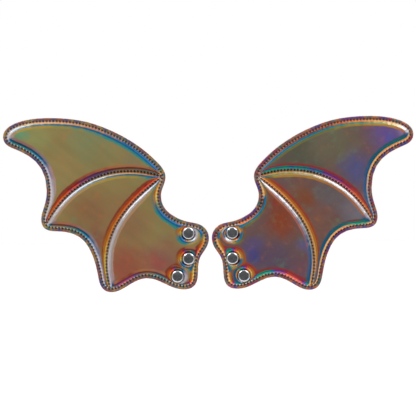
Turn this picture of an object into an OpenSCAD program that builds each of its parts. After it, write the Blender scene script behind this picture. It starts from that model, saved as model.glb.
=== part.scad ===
// A pair of padded costume wings, cut like a bat's: vinyl skins over a foam sheet, sewn round the edge
// and along two ribs, with three press studs on each root tab.
// +X is the right wing's side, +Z is up as worn, and the front faces -Y. The origin lies midway between
// the two middle press studs, on the plane of the padded back.

/* [Pair] */
// Space between the two root tabs
pair_gap = 3; // [2:0.5:12]

/* [Padding] */
// Thickness of each vinyl skin
skin_t = 0.8; // [0.5:0.1:1]
// Foam left between the skins where a seam pinches it
pinched_foam_t = 0.8; // [0.6:0.1:1.2]
// How far the front swells above its seams
front_rise = 3.2; // [2:0.2:4]
// How far the back swells behind its seams
back_rise = 1.4; // [1.2:0.1:1.8]
// Thickness of the board behind the press studs
board_t = 0.8; // [0.6:0.1:1]

/* [Stitching] */
// Distance from the cut edge to the stitch line
seam_inset = 3.4; // [3:0.1:3.8]
// Distance from one stitch to the next
stitch_pitch = 3.4; // [3:0.1:4]
// Length of thread that shows between two needle holes
stitch_len = 2.5; // [2:0.1:2.8]
// Thickness of the thread
thread_d = 0.5; // [0.4:0.05:0.6]

/* [Press studs] */
// Diameter of the domed cap
cap_d = 12.5; // [11:0.5:13]
// Height of the domed cap
cap_h = 3; // [2.6:0.1:3.4]
// Diameter of the cap's hollow barrel
barrel_d = 4; // [3.6:0.1:4.2]
// Diameter of the socket's foot
socket_d = 11; // [10.5:0.5:12]
// Diameter of the socket's mouth
mouth_d = 5.8; // [5.6:0.1:6]
// Thickness of the metal
metal_t = 0.6; // [0.5:0.05:0.7]

/* [Flex line] */
// Space left at the flex line in the back skin
back_flex_gap = 2; // [1.9:0.1:3]
// Space left at the flex line in the foam
foam_flex_gap = 2.2; // [2.1:0.1:3]
// Space left at the flex line in the front skin
front_flex_gap = 2.7; // [2.6:0.1:3.6]

/* [Hidden] */

LEFT = true;
RIGHT = false;

// A wing is drawn in the plane of its skins, with the tab's inner edge at x = 0. Each knot of a curve is
// [x, z, heading in degrees, handle length before it, handle length after it].
OUTLINE = [
    [0, 21, 90, 8, 8],              // tab, upper lobe
    [12.5, 36, 12, 7, 8],           // tab, top
    [29.5, 40.5, 24, 6, 11],        // start of the notch
    [48.8, 65, 92, 13, 7],          // notch, deepest
    [43.8, 84, 90, 7, 6],           // wrist
    [53.5, 100.5, 46, 8, 20],       // leading edge
    [106.5, 135, 22, 22, 20],       // leading edge
    [164.5, 145, 0, 24, 24],        // leading edge, crest
    [209, 126.5, -90, 12, 7],       // upper tip
    [199.5, 114.5, -158, 6, 18],    // under the upper tip
    [165, 71, -90, 28, 14],         // outer scallop
    [171, 42, -88, 8, 9],           // middle tip
    [158.5, 29.5, -180, 7, 24],     // under the middle tip
    [118.5, 3, -110, 20, 8],        // inner scallop
    [113, -20, -100, 8, 8],         // lower tip, outer side
    [99.5, -33.5, -180, 9, 12],     // lower tip
    [64, -19.5, -180, 14, 14],      // trailing edge
    [26.5, -31.5, -180, 14, 12],    // tab, foot
    [11.5, -14, -268, 12, 6],       // tab, inner side
    [7.5, 4, -236, 7, 6],           // tab, waist
];
UPPER_RIB = [
    [47.2, 84, 19, 0, 50],          // wrist
    [167, 34, -64, 54, 0],          // middle tip
];
LOWER_RIB = [
    [47.2, 84, -36, 0, 43],         // wrist
    [101, -30, -106, 57, 0],        // lower tip
];
POINTS_PER_SPAN = 6;
POINTS_PER_RIB = 30;

// Press studs, and the straight line across the root that the sail flexes about
TOP_STUD = [21, 26];
MIDDLE_STUD = [21, 0];
BOTTOM_STUD = [32.5, -18];
STUDS = [TOP_STUD, MIDDLE_STUD, BOTTOM_STUD];
FLEX_TOP = [38.5, 38];
FLEX_FOOT = [48.5, -26];

// Heights are measured forwards from the plane of the padded back
back_seam_h = back_rise;
foam_back_h = back_seam_h + skin_t;
foam_front_h = foam_back_h + pinched_foam_t;
front_seam_h = foam_front_h + skin_t;
board_h = foam_back_h - 0.4;
stud_foot_h = board_h - skin_t;

// The swell: distance from a seam, and the share of the full rise reached there
SWELL = [[0.9, 0.5], [2.8, 1]];
cap_clearance = 0.4;

barrel_r = barrel_d / 2;
barrel_wall = 0.4;
flare_r = barrel_r + 0.7;
flare_t = 0.4;
socket_foot_t = 0.5;
socket_wall_r = 4.5;
socket_back_h = -2.4;
lip_t = 0.8;
spring_d = 0.8;
spring_r = mouth_d / 2 + 0.2;
spring_gap = 60;
board_margin = 2.4;
over = 600;
$fn = 48;

function heading(a) = [cos(a), sin(a)];
function knot_at(k) = [k[0], k[1]];
function handles(p, q) = [
    knot_at(p),
    knot_at(p) + p[4] * heading(p[2]),
    knot_at(q) - q[3] * heading(q[2]),
    knot_at(q),
];
function bezier(b, t) = pow(1 - t, 3) * b[0] + 3 * t * pow(1 - t, 2) * b[1]
    + 3 * t * t * (1 - t) * b[2] + pow(t, 3) * b[3];
function bezier_slope(b, t) = pow(1 - t, 2) * (b[1] - b[0]) + 2 * t * (1 - t) * (b[2] - b[1])
    + t * t * (b[3] - b[2]);
function right_normal(v) = [v[1], -v[0]] / norm(v);

// Points along the closed outline, moved inwards by inset
function outline_points(inset = 0) = [
    for (i = [0 : len(OUTLINE) - 1])
        let (b = handles(OUTLINE[i], OUTLINE[(i + 1) % len(OUTLINE)]))
            for (k = [0 : POINTS_PER_SPAN - 1])
                let (t = k / POINTS_PER_SPAN)
                    bezier(b, t) + inset * right_normal(bezier_slope(b, t))
];

// Points along a rib, moved sideways by shift
function rib_points(rib, shift = 0) =
    let (b = handles(rib[0], rib[1])) [
        for (k = [0 : POINTS_PER_RIB])
            let (t = k / POINTS_PER_RIB) bezier(b, t) + shift * right_normal(bezier_slope(b, t))
    ];

function backwards(list) = [for (i = [len(list) - 1 : -1 : 0]) list[i]];
function travelled(p) = [
    for (i = 0, s = 0; i < len(p); s = s + (i + 1 < len(p) ? norm(p[i + 1] - p[i]) : 0), i = i + 1) s
];

// Stitches spaced evenly along a line of points: [x, z, angle]
function stitches(p) =
    let (
        s = travelled(p),
        whole = s[len(s) - 1],
        count = round(whole / stitch_pitch),
        xs = [for (i = [0 : len(p) - 1]) [s[i], p[i][0]]],
        zs = [for (i = [0 : len(p) - 1]) [s[i], p[i][1]]]
    ) [
        for (i = [0 : count - 1])
            let (
                a = (i + 0.5) * whole / count - stitch_len / 2,
                b = a + stitch_len,
                start = [lookup(a, xs), lookup(a, zs)],
                end = [lookup(b, xs), lookup(b, zs)],
                mid = (start + end) / 2
            ) [mid[0], mid[1], atan2(end[1] - start[1], end[0] - start[0])]
    ];

edge_line = let (p = outline_points(seam_inset)) concat(p, [p[0]]);
edge_stitches = stitches(edge_line);

// Signed distance of a point from the flex line, positive on the sail's side
function past_flex(q) = (q - FLEX_TOP) * right_normal(FLEX_TOP - FLEX_FOOT);

module outline() {
    polygon(outline_points());
}

module rib_strip(rib, half_width) {
    polygon(concat(rib_points(rib, half_width), backwards(rib_points(rib, -half_width))));
}

// What lies further than d from every seam and every cap
module swollen(d) {
    difference() {
        offset(delta = -seam_inset - d) outline();
        rib_strip(UPPER_RIB, d);
        rib_strip(LOWER_RIB, d);
        for (s = STUDS)
            translate(s) circle(r = cap_d / 2 + cap_clearance + d);
    }
}

// One side of the flex line, with half the gap taken off it
module side_of_flex(tab, gap) {
    flex = FLEX_TOP - FLEX_FOOT;
    translate(FLEX_FOOT) rotate(atan2(flex[1], flex[0]) - 90)
        mirror([tab ? 1 : 0, 0])
            translate([gap / 2, -over / 2]) square(over);
}

module part_of(tab, gap) {
    intersection() {
        children();
        side_of_flex(tab, gap);
    }
}

// A slab of a flat shape, from height low to height high in front of the back plane
module slab(low, high) {
    translate([0, 0, low]) linear_extrude(height = high - low) children();
}

// Stands a wing drawn flat upright and puts it on its side of the pair
module wing(left) {
    mirror([left ? 1 : 0, 0, 0])
        translate([pair_gap / 2, 0, 0])
            rotate([90, 0, 0])
                children();
}

module barrel_holes() {
    for (s = STUDS)
        translate([s[0], s[1], -over / 2]) cylinder(r = barrel_r, h = over);
}

module front_skin(left, tab) {
    color("#8c7c4c") wing(left) difference() {
        union() {
            slab(foam_front_h, front_seam_h)
                part_of(tab, front_flex_gap) outline();
            for (s = SWELL)
                slab(foam_front_h, front_seam_h + s[1] * front_rise)
                    part_of(tab, front_flex_gap) swollen(s[0]);
        }
        for (s = SWELL)
            slab(foam_front_h - 1, foam_front_h + s[1] * front_rise)
                part_of(tab, front_flex_gap - 1) swollen(s[0] + skin_t);
        if (tab) barrel_holes();
    }
}

module padding(left, tab) {
    color("#2b2b2f") wing(left) difference() {
        union() {
            slab(foam_back_h, foam_front_h)
                part_of(tab, foam_flex_gap) outline();
            for (s = SWELL)
                slab(foam_back_h - s[1] * back_rise, foam_front_h + s[1] * front_rise)
                    part_of(tab, foam_flex_gap) swollen(s[0] + skin_t);
        }
        if (tab) slab(board_h, board_h + board_t) board_shape();
        if (tab) slab(-1, board_h + board_t / 2) stud_seats();
        if (tab) barrel_holes();
    }
}

module stud_seats() {
    for (s = STUDS)
        translate(s) circle(r = cap_d / 2);
}

module back_skin(left, tab) {
    color("#6f6a86") wing(left) difference() {
        union() {
            slab(back_seam_h, foam_back_h)
                part_of(tab, back_flex_gap) outline();
            for (s = SWELL)
                slab(back_seam_h - s[1] * back_rise, foam_back_h)
                    part_of(tab, back_flex_gap) swollen(s[0]);
            if (tab) slab(stud_foot_h, foam_back_h) stud_seats();
        }
        for (s = SWELL)
            slab(foam_back_h - s[1] * back_rise, foam_back_h + 1)
                part_of(tab, back_flex_gap - 1) swollen(s[0] + skin_t);
        if (tab) slab(board_h, foam_back_h + 1) board_shape();
        if (tab) barrel_holes();
    }
}

module board_shape() {
    offset(delta = -seam_inset - board_margin) part_of(true, 0) outline();
}

module tab_board(left) {
    color("#c9c4b8") wing(left) difference() {
        slab(board_h, board_h + board_t) board_shape();
        barrel_holes();
    }
}

module stitch_row(list) {
    for (s = list)
        translate([s[0], s[1], front_seam_h + thread_d / 2]) rotate(s[2])
            cube([stitch_len, thread_d, thread_d], center = true);
}

module edge_stitching(left, tab) {
    clear = (front_flex_gap + stitch_len) / 2;
    side = tab ? -1 : 1;
    color("#2e2c30") wing(left)
        stitch_row([for (s = edge_stitches) if (side * past_flex([s[0], s[1]]) > clear) s]);
}

// The first and last stitches of a rib would lie on the edge's own row
module rib_stitching(left, rib) {
    row = stitches(rib_points(rib));
    color("#2e2c30") wing(left)
        stitch_row([for (i = [1 : len(row) - 2]) row[i]]);
}

// A domed cap with its hollow barrel, set from the front and rolled over in the socket
module stud_cap(left, at) {
    dome_side = 0.9;
    dome_rise = cap_h - dome_side;
    dome_r = (pow(cap_d / 2, 2) + pow(dome_rise, 2)) / (2 * dome_rise);
    dome_centre = cap_h - dome_r;
    flare_h = stud_foot_h - socket_foot_t;
    color("#c8ccd2") wing(left) translate([at[0], at[1], 0]) difference() {
        union() {
            translate([0, 0, front_seam_h]) difference() {
                intersection() {
                    cylinder(d = cap_d, h = cap_h + 1);
                    translate([0, 0, dome_centre]) sphere(r = dome_r);
                }
                intersection() {
                    translate([0, 0, -1]) cylinder(r = cap_d / 2 - metal_t, h = cap_h + 1);
                    translate([0, 0, dome_centre]) sphere(r = dome_r - metal_t);
                }
            }
            translate([0, 0, flare_h]) cylinder(r = barrel_r, h = front_seam_h + cap_h - metal_t - flare_h);
            translate([0, 0, flare_h - flare_t]) cylinder(r = flare_r, h = flare_t);
        }
        translate([0, 0, flare_h - 1])
            cylinder(r = barrel_r - barrel_wall, h = front_seam_h + cap_h - 2 * metal_t - flare_h + 1);
    }
}

// The socket on the back, which snaps over a stud on the garment
module stud_socket(left, at) {
    color("#b9bcc2") wing(left) translate([at[0], at[1], 0]) difference() {
        union() {
            translate([0, 0, stud_foot_h - socket_foot_t]) cylinder(d = socket_d, h = socket_foot_t);
            translate([0, 0, socket_back_h])
                cylinder(r = socket_wall_r, h = stud_foot_h - socket_back_h);
        }
        translate([0, 0, -over / 2]) cylinder(r = barrel_r, h = over);
        translate([0, 0, socket_back_h + lip_t])
            cylinder(r = socket_wall_r - metal_t, h = stud_foot_h - socket_foot_t - socket_back_h - lip_t);
        translate([0, 0, socket_back_h - 1]) cylinder(d = mouth_d, h = lip_t + 2);
    }
}

// The open ring of spring wire inside the socket
module stud_spring(left, at) {
    color("#8e9298") wing(left)
        translate([at[0], at[1], socket_back_h + lip_t + spring_d / 2 + 0.1])
            rotate(spring_gap / 2)
                rotate_extrude(angle = 360 - spring_gap)
                    translate([spring_r, 0]) circle(d = spring_d);
}

front_skin(LEFT, tab = true);  // left_front_skin_tab
front_skin(LEFT, tab = false);  // left_front_skin_sail
padding(LEFT, tab = true);  // left_padding_tab
padding(LEFT, tab = false);  // left_padding_sail
back_skin(LEFT, tab = true);  // left_back_skin_tab
back_skin(LEFT, tab = false);  // left_back_skin_sail
tab_board(LEFT);  // left_tab_board
edge_stitching(LEFT, tab = true);  // left_edge_stitching_tab
edge_stitching(LEFT, tab = false);  // left_edge_stitching_sail
rib_stitching(LEFT, UPPER_RIB);  // left_upper_rib_stitching
rib_stitching(LEFT, LOWER_RIB);  // left_lower_rib_stitching
stud_cap(LEFT, TOP_STUD);  // left_top_stud_cap
stud_socket(LEFT, TOP_STUD);  // left_top_stud_socket
stud_spring(LEFT, TOP_STUD);  // left_top_stud_spring
stud_cap(LEFT, MIDDLE_STUD);  // left_middle_stud_cap
stud_socket(LEFT, MIDDLE_STUD);  // left_middle_stud_socket
stud_spring(LEFT, MIDDLE_STUD);  // left_middle_stud_spring
stud_cap(LEFT, BOTTOM_STUD);  // left_bottom_stud_cap
stud_socket(LEFT, BOTTOM_STUD);  // left_bottom_stud_socket
stud_spring(LEFT, BOTTOM_STUD);  // left_bottom_stud_spring
front_skin(RIGHT, tab = true);  // right_front_skin_tab
front_skin(RIGHT, tab = false);  // right_front_skin_sail
padding(RIGHT, tab = true);  // right_padding_tab
padding(RIGHT, tab = false);  // right_padding_sail
back_skin(RIGHT, tab = true);  // right_back_skin_tab
back_skin(RIGHT, tab = false);  // right_back_skin_sail
tab_board(RIGHT);  // right_tab_board
edge_stitching(RIGHT, tab = true);  // right_edge_stitching_tab
edge_stitching(RIGHT, tab = false);  // right_edge_stitching_sail
rib_stitching(RIGHT, UPPER_RIB);  // right_upper_rib_stitching
rib_stitching(RIGHT, LOWER_RIB);  // right_lower_rib_stitching
stud_cap(RIGHT, TOP_STUD);  // right_top_stud_cap
stud_socket(RIGHT, TOP_STUD);  // right_top_stud_socket
stud_spring(RIGHT, TOP_STUD);  // right_top_stud_spring
stud_cap(RIGHT, MIDDLE_STUD);  // right_middle_stud_cap
stud_socket(RIGHT, MIDDLE_STUD);  // right_middle_stud_socket
stud_spring(RIGHT, MIDDLE_STUD);  // right_middle_stud_spring
stud_cap(RIGHT, BOTTOM_STUD);  // right_bottom_stud_cap
stud_socket(RIGHT, BOTTOM_STUD);  // right_bottom_stud_socket
stud_spring(RIGHT, BOTTOM_STUD);  // right_bottom_stud_spring
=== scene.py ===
import math

import bpy
import numpy as np
from mathutils import Matrix, Vector
from mathutils.geometry import delaunay_2d_cdt
from mathutils.kdtree import KDTree


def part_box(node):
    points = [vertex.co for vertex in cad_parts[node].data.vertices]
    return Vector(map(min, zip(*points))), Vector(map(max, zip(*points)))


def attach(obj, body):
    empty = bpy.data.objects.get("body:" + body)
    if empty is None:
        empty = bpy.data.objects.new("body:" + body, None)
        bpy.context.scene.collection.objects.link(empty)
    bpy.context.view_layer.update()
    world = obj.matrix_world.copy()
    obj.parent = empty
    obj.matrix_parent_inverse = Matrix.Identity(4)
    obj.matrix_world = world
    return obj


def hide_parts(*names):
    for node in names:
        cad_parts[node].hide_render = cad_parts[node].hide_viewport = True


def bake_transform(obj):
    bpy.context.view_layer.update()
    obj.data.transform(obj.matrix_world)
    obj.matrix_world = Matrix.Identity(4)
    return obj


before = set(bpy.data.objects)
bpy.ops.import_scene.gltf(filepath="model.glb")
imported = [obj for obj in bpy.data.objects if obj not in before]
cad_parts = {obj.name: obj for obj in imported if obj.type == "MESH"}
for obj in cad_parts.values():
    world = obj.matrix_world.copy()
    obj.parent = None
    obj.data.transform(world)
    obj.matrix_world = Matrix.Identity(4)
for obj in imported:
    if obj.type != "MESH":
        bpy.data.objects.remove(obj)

# A pair of padded holographic wings. Lengths are metres. The right wing is worked out in the plane of
# its skins as (outwards, up), with heights measured forwards from the plane of the padded back. The
# left wing is its mirror image.
MM = 0.001

# Blender's start-up objects are in the way
for name in ("Cube", "Light", "Camera"):
    if name in bpy.data.objects:
        bpy.data.objects.remove(bpy.data.objects[name])
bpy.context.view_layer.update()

SIDES = {"left": -1, "right": 1}
STUD_NAMES = ("top", "middle", "bottom")

# Vinyl, foam and seams
SKIN = 0.8 * MM                # thickness of the vinyl
PINCH = 0.35 * MM              # how far the thread pulls the front in along a seam
BACK_PINCH = 0.2 * MM
FRONT_SWELL = 1.9 * MM         # how quickly the foam swells beside a seam
BACK_SWELL = 2.3 * MM
ROWS = (0.3, 0.62, 1.0, 1.45, 2.0, 2.7, 3.6, 4.8)   # rows of points beside a seam, in mm
NEAR_ROWS = 4                  # these rows carry the puckers, so their points lie closest together
PANEL_STEP = 2.4 * MM          # spacing of the points out on a panel
STEPS_PER_STITCH = 6
CAP_SEAT = 0.35 * MM           # how far the vinyl is pressed flat beyond a cap's rim
STUD_SWELL = 2.7 * MM          # the studs press the foam into wider dimples
STUD_REACH = 14 * MM
SWELL_ROUNDS = 160             # rounds of easing that bring the stretched skin to rest
RIM_ROWS = (0.5, 0.2)          # rows of points just inside the cut edge, in mm
POINT_GAP = 0.27 * MM          # rows and rings that run together are thinned to this
RING_POINTS = 72
# rings of points round a stud, in mm beyond the cap's rim
RING_STEPS = (-3.0, -1.2, -0.3, 0.0, CAP_SEAT / MM, 0.7, 1.1, 1.6, 2.2, 3.0, 4.0)

HIGHEST_BULGE = 0.25 * MM      # what the front may stand proud of the panels
EASE_ROUNDS = 3                # rounds that even out the slopes which the foil's colours follow

# Relief, on the front and on the back
MARGIN_RISE = (0.33 * MM, 0.22 * MM)    # the margin recovers outside the seam
WORN_EDGE = (0.28 * MM, 0.2 * MM)       # the cut edge is a little rounded
PUCKER = (0.24 * MM, 0.12 * MM)         # close beside the seams
DIMPLE = (0.25 * MM, 0.15 * MM)         # at each needle hole
WRINKLE = (0.1 * MM, 0.05 * MM)         # slower, further from the seams
SAG = (0.11 * MM, 0.06 * MM)            # slowest, out on the panels


# ---------------------------------------------------------------- what the frame says

def welded_islands(node):
    """The corners of each separate solid of a CAD node, as arrays."""
    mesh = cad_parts[node].data
    grain = 0.01 * MM
    corners = np.array([v.co for v in mesh.vertices])
    points, ids = np.unique(np.round(corners / grain).astype(int), axis=0, return_inverse=True)
    ids = ids.ravel()
    owner = list(range(len(points)))

    def root(i):
        while owner[i] != i:
            owner[i] = owner[owner[i]]
            i = owner[i]
        return i

    for face in mesh.polygons:
        first = root(ids[face.vertices[0]])
        for v in face.vertices[1:]:
            owner[root(ids[v])] = first
    groups = {}
    for i in range(len(points)):
        groups.setdefault(root(i), []).append(points[i] * grain)
    return [np.array(g) for g in groups.values()]


def stitch_places(*nodes):
    """Middle (outwards, up) of each stitch of the right wing's thread nodes."""
    return np.array([island.mean(0)[[0, 2]] for node in nodes for island in welded_islands(node)])


def chained(points, start):
    """The points in the order they are sewn, each one the nearest to the last."""
    left = list(range(len(points)))
    order = [left.pop(start)]
    while left:
        steps = np.linalg.norm(points[left] - points[order[-1]], axis=1)
        order.append(left.pop(int(steps.argmin())))
    return points[order]


def smooth_line(points, closed, step=0.25 * MM):
    """A dense Catmull-Rom curve through the points."""
    if closed:
        p = np.vstack([points[-1:], points, points[:2]])
    else:
        p = np.vstack([2 * points[0] - points[1], points, 2 * points[-1] - points[-2]])
    dense = []
    for a, b, c, d in zip(p[:-3], p[1:-2], p[2:-1], p[3:]):
        n = max(2, int(np.linalg.norm(c - b) / step))
        t = (np.arange(n) / n)[:, None]
        dense.append(0.5 * (2 * b + (c - a) * t + (2 * a - 5 * b + 4 * c - d) * t ** 2
                            + (3 * b - a - 3 * c + d) * t ** 3))
    if not closed:
        dense.append(points[-1:])
    return np.vstack(dense)


def travelled(line, closed):
    """The line, closed if it is to be, and how far along it each point lies."""
    if closed:
        line = np.vstack([line, line[:1]])
    return line, np.concatenate([[0], np.cumsum(np.linalg.norm(np.diff(line, axis=0), axis=1))])


def at_lengths(line, closed, lengths):
    """The points that lie the given lengths along a line."""
    line, s = travelled(line, closed)
    return np.column_stack([np.interp(lengths, s, line[:, k]) for k in (0, 1)])


def evenly(line, closed, count):
    """count equal steps along a line: count points when it is closed, one more when it is open."""
    whole = travelled(line, closed)[1][-1]
    points = at_lengths(line, closed, np.linspace(0, whole, count + 1))
    return points[:-1] if closed else points


def headings(points, closed):
    d = np.roll(points, -1, 0) - np.roll(points, 1, 0) if closed else np.gradient(points, axis=0)
    return d / np.linalg.norm(d, axis=1)[:, None]


def leftwards(d):
    return np.column_stack([-d[:, 1], d[:, 0]])


def cross(u, v):
    return u[:, 0] * v[:, 1] - u[:, 1] * v[:, 0]


def smoothstep(x):
    x = np.clip(x, 0, 1)
    return x * x * (3 - 2 * x)


def tree_of(points):
    """A search tree of places in the wing's plane."""
    tree = KDTree(len(points))
    for i, p in enumerate(points):
        tree.insert((p[0], p[1], 0), i)
    tree.balance()
    return tree


def edge_line():
    """The edge's seam, anticlockwise, as a dense closed line, with its number of stitches and their pitch."""
    places = stitch_places("right_edge_stitching_tab", "right_edge_stitching_sail")
    places = chained(places, int(places[:, 1].argmax()))
    pitch = float(np.median(np.linalg.norm(np.diff(places, axis=0), axis=1)))
    line = smooth_line(places, closed=True)
    x, z = line.T
    if np.sum(x * np.roll(z, -1) - z * np.roll(x, -1)) < 0:
        line = line[::-1]
    return line, round(travelled(line, True)[1][-1] / pitch), pitch


EDGE, EDGE_STITCHES, PITCH = edge_line()
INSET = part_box("right_padding_sail")[1].z - EDGE[:, 1].max()


def rib_line(name):
    """A rib's seam, run on past its outermost stitches to the edge's seam, and how many stitches it takes."""
    places = stitch_places(f"right_{name}_rib_stitching")
    places = chained(places, int(places[:, 0].argmin()))
    run_on = np.arange(1, 4)[:, None] * 0.5
    lead = places[0] + run_on[::-1] * (places[0] - places[1])
    tail = places[-1] + run_on * (places[-1] - places[-2])
    return smooth_line(np.vstack([lead, places, tail]), closed=False), len(places) + 2


RIBS = {name: rib_line(name) for name in ("upper", "lower")}


def middle_of(node):
    low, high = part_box(node)
    return np.array([(low.x + high.x) / 2, (low.z + high.z) / 2])


STUDS = {name: middle_of(f"right_{name}_stud_cap") for name in STUD_NAMES}
cap_low, cap_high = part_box("right_top_stud_cap")
CAP_R = (cap_high.x - cap_low.x) / 2
BARREL_R = 2.0 * MM
PANEL_H = -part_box("right_front_skin_sail")[0].y        # front of the panels
SEAM_H = PANEL_H - 3.2 * MM                            # front of the cut edge, where a cap sits
BACK_SEAM_H = 1.4 * MM                                 # back of the cut edge
FOOT_H = 1.0 * MM                                      # back of the tab under a socket
CAP_TOP_H = -cap_low.y


# ---------------------------------------------------------------- the wing's pattern, flat

class Seams:
    """All the seams as one set of points that can say how far off anything is."""

    def __init__(self):
        whole = travelled(EDGE, True)[1][-1]
        count = EDGE_STITCHES * STEPS_PER_STITCH
        # every line starts at a needle hole, half a stitch before the middle of its first stitch
        starts = (np.arange(count) + STEPS_PER_STITCH / 2) / count % 1
        self.edge = at_lengths(EDGE, True, starts * whole)
        self.lines = [(self.edge, True)]
        for line, stitches in RIBS.values():
            self.lines.append((evenly(line, False, stitches * STEPS_PER_STITCH), False))
        self.points = np.vstack([line for line, _ in self.lines])
        self.step = np.concatenate([np.arange(len(line)) for line, _ in self.lines])
        self.tree = tree_of(self.points)

    def nearest(self, places):
        found = [self.tree.find((p[0], p[1], 0)) for p in places]
        return np.array([f[2] for f in found]), np.array([f[1] for f in found])


def in_polygon(points, polygon):
    inside = np.zeros(len(points), bool)
    for (x0, z0), (x1, z1) in zip(polygon, np.roll(polygon, -1, 0)):
        if z0 == z1:
            continue
        crosses = (points[:, 1] > min(z0, z1)) & (points[:, 1] <= max(z0, z1))
        inside ^= crosses & (points[:, 0] < x0 + (points[:, 1] - z0) * (x1 - x0) / (z1 - z0))
    return inside


def thinned(points, gap):
    """The points without those closer than gap to one that comes before them."""
    cells = {}
    kept = []
    for p in points:
        column, row = int(p[0] // gap), int(p[1] // gap)
        near = (q for i in (-1, 0, 1) for j in (-1, 0, 1) for q in cells.get((column + i, row + j), ()))
        if all((q[0] - p[0]) ** 2 + (q[1] - p[1]) ** 2 >= gap * gap for q in near):
            cells.setdefault((column, row), []).append(p)
            kept.append(p)
    return np.array(kept)


def stud_distance(points):
    return np.min([np.linalg.norm(points - centre, axis=1) for centre in STUDS.values()], axis=0)


def seam_rows(seams):
    """Rows of points on both sides of each seam."""
    kept = []
    for k, row in enumerate(ROWS):
        d = row * MM
        spacing = 1 if k < NEAR_ROWS else 2 if k < NEAR_ROWS + 2 else 3
        for line, closed in seams.lines:
            side = leftwards(headings(line, closed))
            for sign in (1, -1):
                if closed and sign < 0 and d > INSET - 0.8 * MM:
                    continue                           # too near the cut edge, or past it
                points = (line + sign * side * d)[::spacing]
                away, _ = seams.nearest(points)
                kept.append(points[away > d * 0.93])
    out = -leftwards(headings(seams.edge, True))
    for row in RIM_ROWS:
        kept.append((seams.edge + out * (INSET - row * MM))[::2])
    return np.vstack(kept)


def panel_points(seams):
    """A triangular grid out on the panels."""
    low, high = seams.edge.min(0), seams.edge.max(0)
    rise = PANEL_STEP * math.sqrt(3) / 2
    grid = np.array([(x + (j % 2) * PANEL_STEP / 2, z)
                     for j, z in enumerate(np.arange(low[1], high[1], rise))
                     for x in np.arange(low[0], high[0], PANEL_STEP)])
    away, _ = seams.nearest(grid)
    return grid[in_polygon(grid, seams.edge) & (away > (ROWS[-1] + 1.2) * MM)]


def stud_rings(seams):
    """Rings of points round each stud, and the loops of the holes for their barrels."""
    turn = np.linspace(0, 2 * math.pi, RING_POINTS, endpoint=False)
    circle = np.column_stack([np.cos(turn), np.sin(turn)])
    rings = []
    for centre in STUDS.values():
        for step in RING_STEPS:
            ring = centre + circle * (CAP_R + step * MM)
            away, _ = seams.nearest(ring)
            own = np.linalg.norm(ring - centre, axis=1) <= stud_distance(ring) + 1e-6
            rings.append(ring[own & (away > 0.5 * MM)])
    holes = [centre + circle[::3] * BARREL_R for centre in STUDS.values()]
    return np.vstack(rings), holes


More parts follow.
